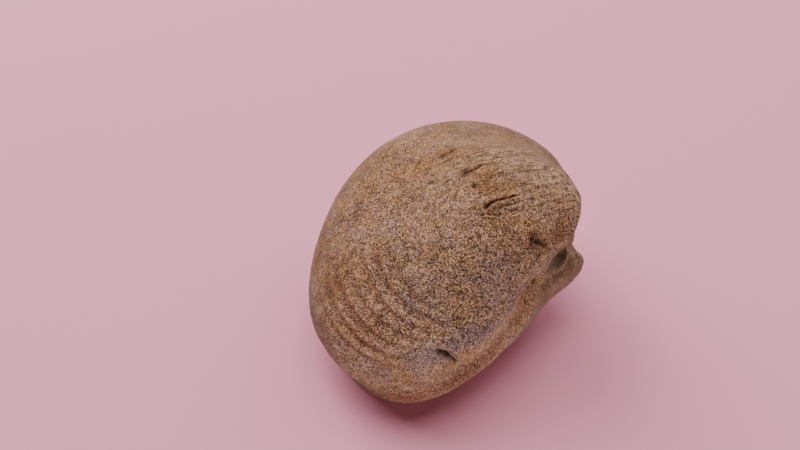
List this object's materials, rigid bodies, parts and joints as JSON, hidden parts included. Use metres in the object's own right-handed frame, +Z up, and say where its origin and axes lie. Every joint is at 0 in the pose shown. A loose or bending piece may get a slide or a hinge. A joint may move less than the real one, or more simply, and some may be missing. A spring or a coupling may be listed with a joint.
{
  "type": "fossil bivalve",
  "caption": "Inflated closed clam preserved as a sandstone internal mould, with rounded beaks, faint growth ridges, a seam groove and a worn flat under it.",
  "frame": {"origin": "centre of the worn flat that the stone rests on, under the lower valve", "axes": "+Z up from the surface it rests on; +X roughly from the ventral margin towards the beaks; -Y towards the near end of the shell"},
  "size_m": [0.0525, 0.058, 0.0347],
  "materials": {
    "sandstone": "rough grainy tan-brown sandstone"
  },
  "bodies": {
    "root": {"fossil_bivalve": "sandstone"}
  },
  "joints": []
}
